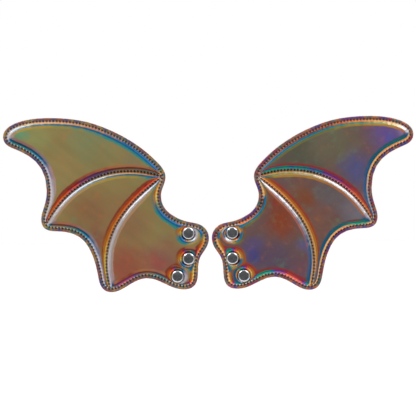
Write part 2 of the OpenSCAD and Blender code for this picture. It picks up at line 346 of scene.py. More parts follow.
class Pattern:
    """The flat mesh that every layer of a wing shares, and what is known at each of its points."""

    def __init__(self):
        seams = self.seams = Seams()
        rows, panels = seam_rows(seams), panel_points(seams)
        rings, holes = stud_rings(seams)
        ring_reach = CAP_R + (RING_STEPS[-1] + 0.6) * MM
        loose = np.vstack([rows, panels])
        clear_of_studs = stud_distance(loose)
        far = loose[clear_of_studs > ring_reach]
        close = loose[(clear_of_studs <= ring_reach) & (clear_of_studs > CAP_R + CAP_SEAT + 0.2 * MM)]
        away, _ = seams.nearest(close)
        free = thinned(np.vstack([far, rings, close[away < 2.3 * MM]]), POINT_GAP)
        outline = seams.edge - leftwards(headings(seams.edge, True)) * INSET
        self.triangulate(outline, holes, free)
        self.measure()

    def triangulate(self, outline, holes, free):
        loops = [(outline, True), *self.seams.lines, *((hole, True) for hole in holes)]
        fixed = np.vstack([line for line, _ in loops])
        edges = []
        first = 0
        for line, closed in loops:
            n = len(line)
            edges += [(first + i, first + (i + 1) % n) for i in range(n if closed else n - 1)]
            first += n
        fixed_tree = tree_of(fixed)
        clear = [p for p in free if fixed_tree.find((p[0], p[1], 0))[2] > 0.2 * MM]
        flat = np.vstack([fixed, clear]) / MM
        found = delaunay_2d_cdt([Vector(p) for p in flat], edges, [], 0, 1e-3)
        self.points = np.array([tuple(p) for p in found[0]]) * MM
        faces = np.array([tuple(f) for f in found[2]])
        a, b, c = (self.points[faces[:, k]] for k in range(3))
        turned = cross(b - a, c - a) < 0
        faces[turned] = faces[turned][:, ::-1]
        middle = (a + b + c) / 3
        kept = in_polygon(middle, outline) & (stud_distance(middle) > BARREL_R)
        self.faces = faces[kept]
        used = np.unique(self.faces)
        renumber = np.full(len(self.points), -1)
        renumber[used] = np.arange(len(used))
        self.points = self.points[used]
        self.faces = renumber[self.faces]

    def measure(self):
        p = self.points
        self.away, self.near = self.seams.nearest(p)
        self.margin = ~in_polygon(p, self.seams.edge) | (self.away < 0.01 * MM)
        self.on_seam = self.away < 0.02 * MM
        self.stud = stud_distance(p)
        self.step = self.seams.step[self.near]
        past_hole = self.step % STEPS_PER_STITCH * PITCH / STEPS_PER_STITCH
        self.from_hole = np.minimum(past_hole, PITCH - past_hole)
        f = self.faces
        ends = np.vstack([f[:, [0, 1]], f[:, [1, 2]], f[:, [2, 0]]])
        key = np.sort(ends, axis=1)
        _, first, count = np.unique(key, axis=0, return_index=True, return_counts=True)
        self.rim = ends[first[count == 1]]
        self.cotangents()

    def cotangents(self):
        """Weights that make the swell independent of how the points happen to lie."""
        f, p = self.faces, self.points
        rows, cols, weights = [], [], []
        share = np.zeros(len(p))
        for k in range(3):
            i, j, o = f[:, k], f[:, (k + 1) % 3], f[:, (k + 2) % 3]
            u, v = p[i] - p[o], p[j] - p[o]
            size = np.abs(cross(u, v)) + 1e-15
            w = np.clip(np.sum(u * v, axis=1) / size, 0.02, 20) / 2
            rows += [i, j]
            cols += [j, i]
            weights += [w, w]
            np.add.at(share, i, size / 6)
        self.link = (np.concatenate(rows), np.concatenate(cols), np.concatenate(weights))
        self.share = share

    def swell(self, width, seat, stud_width):
        """How far the foam has swelled, from 0 on a seam to 1 out on a panel: a skin stretched over
        springy foam, held down at the seams and pressed to seat under the caps."""
        rows, cols, w = self.link
        held = self.on_seam | self.margin | (self.stud < CAP_R + CAP_SEAT)
        width = width + (stud_width - width) * smoothstep(1 - (self.stud - CAP_R) / STUD_REACH)
        level = 1 - np.exp(-self.away / width)
        level *= 1 - (1 - seat) * np.exp(-np.maximum(self.stud - CAP_R - CAP_SEAT, 0) / width)
        level[self.on_seam | self.margin] = 0
        level[self.stud < CAP_R + CAP_SEAT] = seat
        pull = self.share / width ** 2
        total = np.bincount(rows, w, len(level)) + pull
        for _ in range(SWELL_ROUNDS):
            eased = (np.bincount(rows, w * level[cols], len(level)) + pull) / total
            level = np.where(held, level, eased)
        return level


def wander(along, seed):
    """A smooth unevenness along a seam, from -1 to 1."""
    waves = ((7.1, 0.9), (11.3, 1.9), (17.9, 3.1), (5.3, 0.4))
    return sum(math.cos(seed * c) * 0.4 * np.sin(2 * math.pi * along / (a * MM) + seed * c) for a, c in waves)


class Layers:
    """Heights of the four faces of a wing's sandwich at each point of the pattern."""

    def __init__(self, pattern, seed):
        p = pattern
        along = p.step * PITCH / STEPS_PER_STITCH
        front_low = SEAM_H - PINCH
        back_low = BACK_SEAM_H + BACK_PINCH
        seat = (SEAM_H - 0.03 * MM - front_low) / (PANEL_H - front_low)
        back_seat = (back_low - FOOT_H - 0.02 * MM) / back_low
        front = front_low + (PANEL_H - front_low) * p.swell(FRONT_SWELL, seat, STUD_SWELL)
        back = back_low - back_low * p.swell(BACK_SWELL, back_seat, STUD_SWELL)
        # the margin recovers outside the seam, and its cut edge is a little rounded
        out = np.where(p.margin, p.away, 0)
        recovered = smoothstep(out / (1.3 * MM))
        worn = np.clip((out - INSET + 0.55 * MM) / (0.55 * MM), 0, 1) ** 2
        front += recovered * MARGIN_RISE[0] - worn * WORN_EDGE[0]
        back -= recovered * MARGIN_RISE[1] - worn * WORN_EDGE[1]
        # puckers between the stitches, a dimple at each needle hole, and slow wrinkles beside the seams
        free = p.stud > CAP_R + 1.2 * MM
        bulge = (1 - np.cos(2 * math.pi * p.from_hole / PITCH)) / 2
        pucker = (1 - bulge) * np.exp(-(p.away / (1.3 * MM)) ** 2)
        hole = np.exp(-(p.from_hole ** 2 + p.away ** 2) / (0.4 * MM) ** 2)
        reach = p.away / (2.2 * MM)
        wrinkle = np.where(p.margin, 0.35, 1) * reach * np.exp(1 - reach) * wander(along, seed)
        x, z = p.points.T / MM
        sag = np.sin(x / 31 + seed) * np.sin(z / 24 + 2 * seed) + 0.5 * np.sin((x + z) / 15 + seed)
        sag = sag * smoothstep((p.away / MM - 3) / 12)
        sewn = [free * (PUCKER[i] * pucker + DIMPLE[i] * hole - WRINKLE[i] * wrinkle) + SAG[i] * sag
                for i in (0, 1)]
        front -= sewn[0]
        back += sewn[1]
        self.front = np.minimum(front, PANEL_H + HIGHEST_BULGE)
        self.back = back
        self.under_front = self.front - SKIN
        self.over_back = np.minimum(self.back + SKIN, self.under_front - 0.05 * MM)
        self.bulge = bulge * free


def tilt_of(pattern, height):
    """How far a face leans outwards and upwards at each point, from its normals."""
    a, b, c = (np.column_stack([pattern.points, height])[pattern.faces[:, k]] for k in range(3))
    normal = np.cross(b - a, c - a)
    total = np.zeros((len(pattern.points), 3))
    for k in range(3):
        np.add.at(total, pattern.faces[:, k], normal)
    total /= np.linalg.norm(total, axis=1)[:, None]
    return eased(pattern, total[:, 0]), eased(pattern, total[:, 1])


def eased(pattern, values):
    """The values evened out over their neighbours, except close beside a seam."""
    rows, cols, w = pattern.link
    total = np.bincount(rows, w, len(values))
    share = 0.7 * smoothstep((pattern.away / MM - 1.0) / 1.2)
    for _ in range(EASE_ROUNDS):
        around = np.bincount(rows, w * values[cols], len(values)) / total
        values = values + share * (around - values)
    return values


def new_piece(name, points, faces):
    mesh = bpy.data.meshes.new(name)
    mesh.from_pydata([tuple(p) for p in points], [], [tuple(int(i) for i in f) for f in faces])
    mesh.validate()
    piece = bpy.data.objects.new(name, mesh)
    bpy.context.scene.collection.objects.link(piece)
    return piece


def select_only(piece):
    bpy.ops.object.select_all(action="DESELECT")
    piece.select_set(True)
    bpy.context.view_layer.objects.active = piece


def smooth(piece, degrees):
    select_only(piece)
    bpy.ops.object.shade_smooth_by_angle(angle=math.radians(degrees))


def layer(name, side, pattern, high, low, facing, bulge):
    """A closed sheet between two heights, for the wing on the given side."""
    k = SIDES[side]
    n = len(pattern.points)
    x, z = pattern.points.T
    points = np.vstack([np.column_stack([k * x, -high, z]), np.column_stack([k * x, -low, z])])
    front = pattern.faces
    back = pattern.faces[:, ::-1] + n
    a, b = pattern.rim.T
    walls = np.column_stack([a, a + n, b + n, b])
    faces = [*front, *back, *walls]
    if k < 0:
        faces = [f[::-1] for f in faces]
    piece = new_piece(name, points, faces)
    if facing is not None:
        out, up = tilt_of(pattern, high if facing == "front" else low)
        if facing == "back":
            out, up = -out, -up
        marks = {"tilt_out": out, "tilt_up": up, "seam_away": pattern.away / MM, "bulge": bulge,
                 "margin": pattern.margin * 1.0}
        for label, values in marks.items():
            attribute = piece.data.attributes.new(label, "FLOAT", "POINT")
            attribute.data.foreach_set("value", np.tile(values, 2).astype(np.float32))
    smooth(piece, 75)
    return piece


def bend_at_flex_line(piece):
    """Bakes the sheet's placement into its points; the sheet is not bent."""
    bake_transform(piece)


# ---------------------------------------------------------------- thread

THREAD_R = 0.46 * MM
STITCH_LEAN = 16               # degrees off the seam, as a lockstitch lies
LEAN_VARIES = 3                # degrees either way
STITCH_REACH = 0.58            # visible length of a stitch as a share of the pitch
REACH_VARIES = (0.96, 1.03)
STITCH_LIFT = 0.75             # how far a stitch's middle stands off the vinyl, as a share of its radius
STITCH_DIP = 0.3 * MM          # how far its ends sink towards the needle holes
STITCH_SIDES = 8
# a stitch from end to end: the place as a share of its half length, and the radius as a share of THREAD_R
STITCH_RINGS = ((-1.0, 0.45), (-0.86, 0.86), (-0.5, 1.0), (0.0, 1.03), (0.5, 1.0), (0.86, 0.86), (1.0, 0.45))


def one_stitch():
    """A plump stitch of unit half-length and unit radius along x, ready to be copied."""
    bpy.ops.object.select_all(action="DESELECT")
    at, r = STITCH_RINGS[0]
    bpy.ops.mesh.primitive_circle_add(vertices=STITCH_SIDES, radius=r, fill_type="NGON",
                                      location=(at, 0, 0), rotation=(0, math.pi / 2, 0))
    stitch = bpy.context.object
    bpy.ops.object.transform_apply(location=True, rotation=True, scale=True)
    bpy.ops.object.mode_set(mode="EDIT")
    bpy.ops.mesh.select_all(action="SELECT")
    for (at, r), (beyond, next_r) in zip(STITCH_RINGS, STITCH_RINGS[1:]):
        bpy.ops.mesh.extrude_region_move(TRANSFORM_OT_translate={"value": (beyond - at, 0, 0)})
        bpy.ops.transform.resize(value=(1, next_r / r, next_r / r), center_override=(beyond, 0, 0))
    bpy.ops.mesh.select_all(action="SELECT")
    bpy.ops.mesh.fill_holes(sides=STITCH_SIDES)
    bpy.ops.mesh.normals_make_consistent(inside=False)
    bpy.ops.object.mode_set(mode="OBJECT")
    points = np.array([v.co for v in stitch.data.vertices])
    faces = [tuple(f.vertices) for f in stitch.data.polygons]
    bpy.data.objects.remove(stitch)
    return points, faces


STITCH_POINTS, STITCH_FACES = one_stitch()


class Seat:
    """Height of a face of the wing under any place, from the three nearest points of the pattern."""

    def __init__(self, tree, heights):
        self.tree, self.heights = tree, heights

    def under(self, place):
        near = self.tree.find_n((place[0], place[1], 0), 3)
        weights = [1 / (f[2] + 0.02 * MM) for f in near]
        return sum(w * self.heights[f[1]] for w, f in zip(weights, near)) / sum(weights)


def row_of_stitches(name, side, line, skip, seats, draw):
    """Thread along a seam but for skip stitches at each end: a needle thread on the front of the wing
    and a bobbin thread on the back."""
    k = SIDES[side]
    points, faces, along, turn = [], [], [], []
    t, s, h = STITCH_POINTS.T
    for i in range(skip, len(line) // STEPS_PER_STITCH - skip):
        a = line[i * STEPS_PER_STITCH]
        b = line[(i + 1) * STEPS_PER_STITCH % len(line)]
        m = line[i * STEPS_PER_STITCH + STEPS_PER_STITCH // 2]
        ahead = (b - a) / np.linalg.norm(b - a)
        lean = math.radians(STITCH_LEAN + draw.uniform(-LEAN_VARIES, LEAN_VARIES))
        ahead = np.array([ahead[0] * math.cos(lean) - ahead[1] * math.sin(lean),
                          ahead[0] * math.sin(lean) + ahead[1] * math.cos(lean)])
        across = np.array([-ahead[1], ahead[0]])
        reach = np.linalg.norm(b - a) * STITCH_REACH / 2 * draw.uniform(*REACH_VARIES)
        bow = m - (a + b) / 2
        flat = ((a + b) / 2 + np.outer(t * reach, ahead) + np.outer(s * THREAD_R, across)
                + np.outer(1 - t * t, bow))
        sunk = np.abs(t) ** 3 * STITCH_DIP
        for seat, facing in zip(seats, (1, -1)):
            top = seat.under(m) + facing * THREAD_R * STITCH_LIFT
            height = top - facing * sunk + h * THREAD_R
            start = sum(len(p) for p in points)
            points.append(np.column_stack([k * flat[:, 0], -height, flat[:, 1]]))
            faces += [tuple(start + v for v in (f if k > 0 else f[::-1])) for f in STITCH_FACES]
            along.append(i * PITCH + t * reach)
            turn.append(np.arctan2(h, s))
    piece = new_piece(name, np.vstack(points), faces)
    wind(piece, np.concatenate(along), np.concatenate(turn))
    smooth(piece, 60)
    return piece


def wind(piece, along, turn):
    """A UV map for the ply of a thread: across the thread's turn, and along its length."""
    uv = piece.data.uv_layers.new(name="ply")
    values = np.zeros((len(piece.data.loops), 2), np.float32)
    for face in piece.data.polygons:
        ids = list(face.vertices)
        angles = turn[ids]
        middle = math.atan2(np.sin(angles).sum(), np.cos(angles).sum())
        angles = middle + (angles - middle + math.pi) % (2 * math.pi) - math.pi
        values[face.loop_start:face.loop_start + len(ids)] = np.column_stack([angles / (2 * math.pi),
                                                                             along[ids] / MM])
    uv.data.foreach_set("uv", values.ravel())


# ---------------------------------------------------------------- press studs

STUD_SIDES = 56


def lathed(name, side, centre, profile, closed_ring):
    """A round part, drawn out ring by ring from (radius, height) pairs in mm."""
    x, z = SIDES[side] * centre[0], centre[1]
    bpy.ops.object.select_all(action="DESELECT")
    r, h = profile[0]
    bpy.ops.mesh.primitive_circle_add(vertices=STUD_SIDES, radius=r * MM, fill_type="NOTHING",
                                      location=(x, -h * MM, z), rotation=(math.pi / 2, 0, 0))
    piece = bpy.context.object
    piece.name = piece.data.name = name
    bpy.ops.object.transform_apply(location=True, rotation=True, scale=True)
    bpy.ops.object.mode_set(mode="EDIT")
    bpy.ops.mesh.select_mode(type="VERT")
    bpy.ops.mesh.select_all(action="SELECT")
    for (r, h), (next_r, next_h) in zip(profile, profile[1:]):
        bpy.ops.mesh.extrude_region_move(TRANSFORM_OT_translate={"value": (0, (h - next_h) * MM, 0)})
        grow = next_r / r
        bpy.ops.transform.resize(value=(grow, 1, grow), center_override=(x, -next_h * MM, z))
    if closed_ring:
        bpy.ops.mesh.select_all(action="SELECT")
        bpy.ops.mesh.remove_doubles(threshold=0.002 * MM)
    else:
        bpy.ops.mesh.merge(type="COLLAPSE")
        bpy.ops.mesh.select_all(action="DESELECT")
        bpy.ops.mesh.select_non_manifold()
        bpy.ops.mesh.merge(type="COLLAPSE")
        bpy.ops.mesh.select_all(action="SELECT")
    bpy.ops.mesh.normals_make_consistent(inside=False)
    bpy.ops.object.mode_set(mode="OBJECT")
    smooth(piece, 50)
    return piece


def cap_profile():
    """A domed cap with a rolled rim, and its hollow barrel flared over the socket's floor."""
    top, rim, r = CAP_TOP_H / MM, SEAM_H / MM, CAP_R / MM
    dome = [(r * math.sin(a), rim + 0.9 + (top - rim - 0.9) * math.cos(a)) for a in
            (math.radians(d) for d in (1.5, 8, 16, 24, 32, 40, 48, 56, 64, 71, 77, 82, 86, 90))]
    skirt = [(r, rim + 0.55), (r - 0.03, rim + 0.25), (r - 0.14, rim + 0.06), (r - 0.32, rim),
             (r - 0.52, rim + 0.06), (r - 0.62, rim + 0.25), (r - 0.62, rim + 0.7)]
    inside = [((r - 0.6) * math.sin(a), rim + 0.7 + (top - rim - 1.35) * math.cos(a)) for a in
              (math.radians(d) for d in (76, 62, 48, 34))]
    barrel = [(2.05, top - 0.75), (2.0, top - 0.95), (2.0, 1.6), (2.0, 0.7), (2.12, 0.52), (2.4, 0.44),
              (2.62, 0.42), (2.7, 0.32), (2.66, 0.2), (2.5, 0.12), (2.2, 0.12), (1.9, 0.22), (1.68, 0.45),
              (1.6, 0.8), (1.6, 2.5), (1.6, top - 1.3), (1.45, top - 1.1), (0.9, top - 1.0),
              (0.05, top - 1.0)]
    return dome + skirt + inside + barrel


# (radius, height) in mm, round the rolled rim, down the wall and back up inside it
SOCKET_PROFILE = (
    (2.15, 0.52), (2.1, 0.6), (2.1, 0.9), (2.2, 0.98), (2.6, 1.0), (4.6, 1.0), (5.25, 0.98),
    (5.45, 0.9), (5.5, 0.75), (5.45, 0.6), (5.25, 0.52), (4.95, 0.46), (4.72, 0.34), (4.58, 0.12),
    (4.5, -0.2), (4.5, -0.8), (4.5, -1.6), (4.46, -1.95), (4.34, -2.22), (4.12, -2.37), (3.85, -2.4),
    (3.3, -2.4), (3.05, -2.36), (2.93, -2.22), (2.9, -2.0), (2.95, -1.8), (3.1, -1.65), (3.4, -1.6),
    (3.8, -1.58), (4.02, -1.48), (4.1, -1.25), (4.1, -0.2), (4.06, 0.2), (3.9, 0.42), (3.6, 0.5),
    (2.6, 0.5), (2.15, 0.52))


def press_stud(side, stud):
    centre = STUDS[stud]
    cap = lathed(f"{side}_{stud}_cap", side, centre, cap_profile(), closed_ring=False)
    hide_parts(f"{side}_{stud}_stud_cap")
    socket = lathed(f"{side}_{stud}_socket", side, centre, SOCKET_PROFILE, closed_ring=True)
    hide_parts(f"{side}_{stud}_stud_socket")
    for piece in (cap, socket):
        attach(piece, f"{side}_tab")
    return cap, socket


# ---------------------------------------------------------------- materials

def operator(operation, swapped=False):
    """A Python operator between wires, or a wire and a number, as a maths node."""
    def apply(self, other):
        return self.maths(operation, *((other, self) if swapped else (self, other)))
    return apply


class Wire:
    """A shader socket that takes part in Python expressions."""

    def __init__(self, nodes, socket):
        self.nodes, self.socket = nodes, socket

    def maths(self, operation, *values):
        settings = {"operation": operation}
        return self.nodes.node("ShaderNodeMath", settings, dict(enumerate(values)))

    __add__ = __radd__ = operator("ADD")
    __mul__ = __rmul__ = operator("MULTIPLY")
    __sub__, __rsub__ = operator("SUBTRACT"), operator("SUBTRACT", swapped=True)
    __truediv__, __pow__ = operator("DIVIDE"), operator("POWER")

    def sine(self):
        return self.maths("SINE", self)

    def ramp(self, low, high):
        """0 at low and 1 at high, or the other way round, easing in and out."""
        ends = (low, high, 0.0, 1.0) if low < high else (high, low, 1.0, 0.0)
        values = dict(enumerate((self, *ends)))
        return self.nodes.node("ShaderNodeMapRange", {"interpolation_type": "SMOOTHSTEP"}, values)

    def into(self, colour, amount):
        """This colour going over into another."""
        return self.mixed("MIX", colour, amount)

    def times(self, colour, amount=1.0):
        return self.mixed("MULTIPLY", colour, amount)

    def mixed(self, blend, colour, amount):
        settings = {"data_type": "RGBA", "blend_type": blend}
        return self.nodes.node("ShaderNodeMix", settings, {0: amount, 6: self, 7: colour}, out=2)

    def split(self):
        """The three parts of a vector."""
        first = self.nodes.node("ShaderNodeSeparateXYZ", None, {0: self})
        return [Wire(self.nodes, socket) for socket in first.socket.node.outputs]

    def as_grey(self):
        """A number as a colour, so that it can multiply one."""
        return self.nodes.node("ShaderNodeCombineColor", None, {0: self, 1: self, 2: self})

    def shades(self, *stops):
        """A colour for every value, from (value, colour) stops."""
        return self.nodes.node("ShaderNodeValToRGB", {"stops": stops}, {0: self})


class Nodes:
    """Shader nodes under construction."""

    def __init__(self, tree):
        self.tree = tree

    def node(self, kind, settings=None, values=None, out=0):
        made = self.tree.nodes.new(kind)
        for name, value in (settings or {}).items():
            if name == "stops":
                set_stops(made.color_ramp, value)
            else:
                setattr(made, name, value)
        for key, value in (values or {}).items():
            self.feed(made.inputs[key], value)
        return Wire(self, made.outputs[out])

    def vector(self, operation, *values, out=0):
        return self.node("ShaderNodeVectorMath", {"operation": operation}, dict(enumerate(values)), out)

    def feed(self, socket, value):
        if isinstance(value, Wire):
            self.tree.links.new(value.socket, socket)
        else:
            socket.default_value = value

    def mark(self, name):
        return self.node("ShaderNodeAttribute", {"attribute_name": name}, out="Fac")

    def place(self, scale=None, turn=0.0):
        """Object coordinates, turned in the plane of the wings and then stretched."""
        where = self.node("ShaderNodeTexCoord", out="Object")
        if scale is None:
            return where
        turned = self.node("ShaderNodeMapping", None, {"Vector": where, "Rotation": (0, turn, 0)})
        return self.vector("MULTIPLY", turned, scale)

    def noise(self, where, scale, detail=2.0, rough=0.5, out="Fac"):
        values = {"Vector": where, "Scale": scale, "Detail": detail, "Roughness": rough}
        return self.node("ShaderNodeTexNoise", None, values, out)

    def bumped(self, height, distance, strength=1.0, under=None):
        values = {"Height": height, "Distance": distance, "Strength": strength}
        if under is not None:
            values["Normal"] = under
        return self.node("ShaderNodeBump", None, values)


class Finish(Nodes):
    """A material under construction."""

    def __init__(self, name):
        self.material = bpy.data.materials.new(name)
        self.material.use_nodes = True
        super().__init__(self.material.node_tree)
        self.shader = self.tree.nodes["Principled BSDF"]

    def surface(self, **values):
        """Principled sockets by name, with _ for a space."""
        for name, value in values.items():
            self.feed(self.shader.inputs[name.replace("_", " ")], value)
        return self.material


def set_stops(ramp, stops):
    ramp.interpolation = "EASE" if len(stops) < 4 else "LINEAR"
    while len(ramp.elements) < len(stops):
        ramp.elements.new(0.5)
    for element, (position, colour) in zip(ramp.elements, stops):
        element.position = position
        element.color = paint(colour)


def paint(colour):
    """A linear colour from 0-255 screen values, as a colour card gives them."""
    linear = [c / 255 / 12.92 if c <= 10.3 else ((c / 255 + 0.055) / 1.055) ** 2.4 for c in colour]
    return (*linear, 1.0)


def wheel(bearing, colours):
    """Colour by the way a slope faces, from (degrees, colour): 0 is outwards and 90 is upwards. The colours
    are partly the foil's interference colour and partly painted reflection of the lamps and the room.
    """
    return bearing.shades(*(((degrees + 180) / 360, colour) for degrees, colour in colours))


# Foil colours. A place is (outwards, up, reach) in mm, and a bearing is in degrees.
#   ground, pools       the flats: one colour all over, and pools of others at their places
#   flat_gain           how much lighter the flats are painted, to make up for the dark side of the room
#   wheels              the slopes, partly interference colour and partly painted reflection and highlights: faint at the foot of a slope, then half way up, then where it is steep
#   near_shift          how far round the wheels are turned near the root
#   margin, outer_glint outside the seam: the colours along it, and the painted glint between the stitches
FOILS = {
    "left": dict(
        ground=(136, 118, 74), flat_gain=2.75, near_shift=0.0, outer_glint=(246, 196, 120),
        pools=(((120, 128, 45), (122, 124, 84)), ((180, 126, 30), (138, 138, 86)),
        ((78, 104, 20), (126, 116, 84)), ((194, 132, 15), (62, 146, 116)), ((168, 112, 9), (84, 140, 104)),
        ((150, 84, 40), (142, 124, 78)), ((122, 46, 42), (132, 96, 66)), ((80, 42, 36), (136, 102, 72)),
        ((88, -12, 46), (144, 78, 62)), ((50, 0, 30), (132, 84, 76)), ((62, 62, 26), (130, 114, 70)),
        ((60, -14, 12), (92, 74, 98)), ((112, 18, 22), (132, 74, 62)), ((56, -4, 18), (148, 74, 68))),
        wheels=(((-180, (150, 96, 48)), (-150, (128, 66, 44)), (-125, (126, 60, 42)), (-95, (180, 108, 68)),
         (-70, (150, 98, 84)), (-35, (122, 116, 124)), (0, (196, 140, 132)), (40, (226, 130, 100)),
         (75, (182, 140, 60)), (95, (140, 130, 66)), (115, (60, 128, 120)), (150, (50, 128, 120)),
         (180, (150, 96, 48))),
        ((-180, (226, 132, 44)), (-160, (234, 108, 34)), (-142, (238, 84, 28)), (-128, (150, 44, 34)),
         (-114, (96, 50, 96)), (-100, (104, 52, 42)), (-84, (118, 60, 44)), (-62, (16, 68, 92)),
         (-40, (0, 84, 130)), (-15, (170, 150, 160)), (10, (226, 212, 212)), (36, (226, 210, 208)),
         (58, (136, 156, 170)), (92, (56, 120, 136)), (112, (0, 110, 160)), (140, (0, 104, 168)),
         (158, (56, 108, 140)), (180, (236, 150, 56))),
        ((-180, (244, 200, 90)), (-164, (238, 128, 42)), (-148, (242, 102, 32)), (-134, (238, 82, 28)),
         (-122, (136, 56, 80)), (-110, (60, 50, 92)), (-90, (92, 78, 44)), (-66, (14, 92, 92)),
         (-44, (20, 104, 134)), (-20, (150, 150, 170)), (6, (200, 192, 196)), (36, (204, 198, 200)),
         (58, (168, 176, 184)), (74, (220, 200, 170)), (88, (250, 190, 134)), (106, (214, 140, 96)),
         (122, (8, 88, 134)), (146, (16, 74, 126)), (164, (150, 160, 100)), (180, (250, 206, 90)))),
        margin=((0.0, (58, 72, 124)), (0.25, (150, 84, 54)), (0.45, (30, 104, 124)), (0.65, (206, 124, 52)),
        (0.82, (60, 120, 90)), (1.0, (96, 66, 118)))),
    "right": dict(
        ground=(104, 80, 78), flat_gain=2.7, near_shift=-18.0, outer_glint=(236, 140, 80),
        pools=(((95, 112, 40), (82, 84, 68)), ((130, 118, 38), (104, 98, 78)),
        ((185, 124, 34), (98, 78, 136)), ((200, 132, 14), (150, 130, 160)), ((152, 90, 26), (76, 82, 128)),
        ((128, 66, 30), (98, 90, 92)), ((152, 50, 26), (108, 110, 122)), ((92, 62, 24), (122, 78, 54)),
        ((108, 32, 34), (118, 82, 70)), ((72, 40, 28), (124, 68, 48)), ((46, 10, 22), (76, 74, 122)),
        ((66, -2, 30), (88, 72, 92)), ((96, -16, 26), (110, 74, 88)), ((64, 58, 18), (134, 52, 30)),
        ((72, 36, 20), (136, 62, 38)), ((96, 57, 16), (120, 64, 42)), ((166, 138, 13), (154, 94, 70)),
        ((96, 14, 15), (82, 86, 136)), ((46, 0, 15), (56, 62, 130)), ((185, 120, 12), (68, 76, 160))),
        wheels=(((-180, (150, 84, 44)), (-150, (150, 60, 46)), (-120, (140, 50, 56)), (-90, (130, 58, 44)),
         (-65, (50, 90, 100)), (-30, (40, 84, 110)), (0, (84, 90, 124)), (30, (180, 100, 70)),
         (60, (186, 100, 54)), (85, (176, 130, 50)), (105, (110, 110, 60)), (140, (104, 84, 60)),
         (180, (150, 84, 44))),
        ((-180, (230, 130, 56)), (-148, (234, 108, 40)), (-136, (214, 80, 56)), (-126, (146, 48, 80)),
         (-113, (92, 56, 150)), (-106, (10, 104, 140)), (-98, (0, 138, 112)), (-66, (0, 122, 120)),
         (-38, (0, 98, 124)), (-12, (0, 92, 148)), (10, (60, 110, 150)), (34, (228, 216, 222)),
         (60, (226, 206, 206)), (80, (170, 170, 110)), (94, (84, 156, 132)), (110, (0, 136, 168)),
         (150, (0, 134, 178)), (172, (96, 124, 110)), (180, (230, 130, 56))),
        ((-180, (236, 164, 96)), (-150, (238, 128, 56)), (-136, (230, 90, 42)), (-124, (160, 60, 90)),
         (-110, (50, 70, 130)), (-98, (10, 122, 100)), (-84, (40, 110, 80)), (-66, (196, 116, 56)),
         (-38, (240, 140, 60)), (-12, (224, 160, 90)), (8, (150, 160, 170)), (32, (236, 230, 234)),
         (60, (236, 228, 226)), (78, (244, 190, 110)), (94, (240, 130, 36)), (102, (216, 96, 30)),
         (110, (110, 42, 24)), (124, (84, 34, 22)), (150, (92, 52, 44)), (168, (190, 180, 184)),
         (180, (236, 164, 96)))),
        margin=((0.0, (58, 66, 140)), (0.25, (156, 52, 56)), (0.45, (30, 110, 112)), (0.65, (220, 104, 36)),
        (0.82, (70, 80, 140)), (1.0, (112, 50, 124)))),
    "back": dict(
        ground=(108, 98, 114), flat_gain=1.25, near_shift=0.0, outer_glint=(214, 206, 214),
        pools=(((110, 110, 50), (114, 106, 94)), ((170, 120, 40), (98, 86, 138)),
        ((70, 60, 40), (126, 94, 80)), ((110, 20, 50), (100, 86, 112)), ((50, -5, 40), (122, 94, 86))),
        wheels=(((-180, (150, 110, 60)), (-120, (130, 66, 70)), (-60, (60, 100, 120)), (0, (120, 116, 150)),
         (60, (180, 130, 84)), (110, (50, 120, 140)), (180, (150, 110, 60))),
        ((-180, (220, 160, 80)), (-130, (180, 70, 60)), (-100, (90, 60, 110)), (-60, (30, 110, 126)),
         (-10, (140, 140, 170)), (40, (220, 206, 206)), (85, (110, 150, 140)), (120, (20, 126, 166)),
         (180, (220, 160, 80))),
        ((-180, (236, 196, 120)), (-140, (216, 110, 60)), (-110, (110, 56, 96)), (-70, (50, 100, 126)),
         (-30, (160, 140, 136)), (10, (222, 214, 226)), (50, (246, 240, 240)), (90, (240, 184, 120)),
         (120, (60, 124, 160)), (150, (110, 104, 140)), (180, (236, 196, 120)))),
        margin=((0.0, (84, 92, 120)), (0.35, (124, 82, 84)), (0.65, (80, 104, 110)), (1.0, (140, 104, 90)))),
}
# how steep the vinyl is where each wheel starts to show, and where it has taken over
WHEEL_SLOPES = ((0.07, 0.12), (0.17, 0.27), (0.36, 0.56))
FLAT_SLOPES = (0.42, 0.07)     # the flats' gain fades in between these slopes
NEAR_ROOT = (120 * MM, 60 * MM)    # near_shift fades in between these places
UNDERSIDE_GAIN = 1.75          # slopes that face down are painted lighter, since the lamps stand above
UPPER_SIDE_GAIN = 0.9
BRIGHTEST = (0.92, 0.92, 0.92)     # no part of the foil is painted lighter than this
BRUSH_TURN = 38                # degrees from the horizontal
BRUSH_SCALE = (30, 30, 150)    # noise, drawn out along the brushing
DRIFT = 30 * MM                # how far the pools' outlines wander


def foil_flats(f, side, foil, where):
    """Pools of interference colour with wandering outlines, faint clouds, brushing and grain."""
    k = SIDES[side]
    drift = f.noise(where, 26, 3.0, 0.6, "Color")
    spot = f.vector("MULTIPLY_ADD", drift, (DRIFT, 0.0, DRIFT), where)
    spot = f.vector("SUBTRACT", spot, (DRIFT / 2, 0.0, DRIFT / 2))
    colour = f.node("ShaderNodeRGB")
    colour.socket.default_value = paint(foil["ground"])
    for (out, up, reach), tint in foil["pools"]:
        distance = f.vector("DISTANCE", spot, (k * out * MM, 0, up * MM), out="Value")
        colour = colour.into(paint(tint), distance.ramp(reach * MM, reach * 0.15 * MM) * 0.9)
    clouds = f.noise(where, 90, 4.0, 0.65)
    colour = colour.into(paint((84, 140, 104)), clouds.ramp(0.52, 0.8) * 0.3)
    colour = colour.into(paint((176, 106, 60)), clouds.ramp(0.46, 0.2) * 0.3)
    brushing = f.noise(f.place(BRUSH_SCALE, k * math.radians(BRUSH_TURN)), 1.0, 0.0, 0.5)
    grain = f.noise(where, 2600, 2.0, 0.6)
    return colour.times((0.84 + 0.16 * brushing + 0.14 * grain).as_grey())


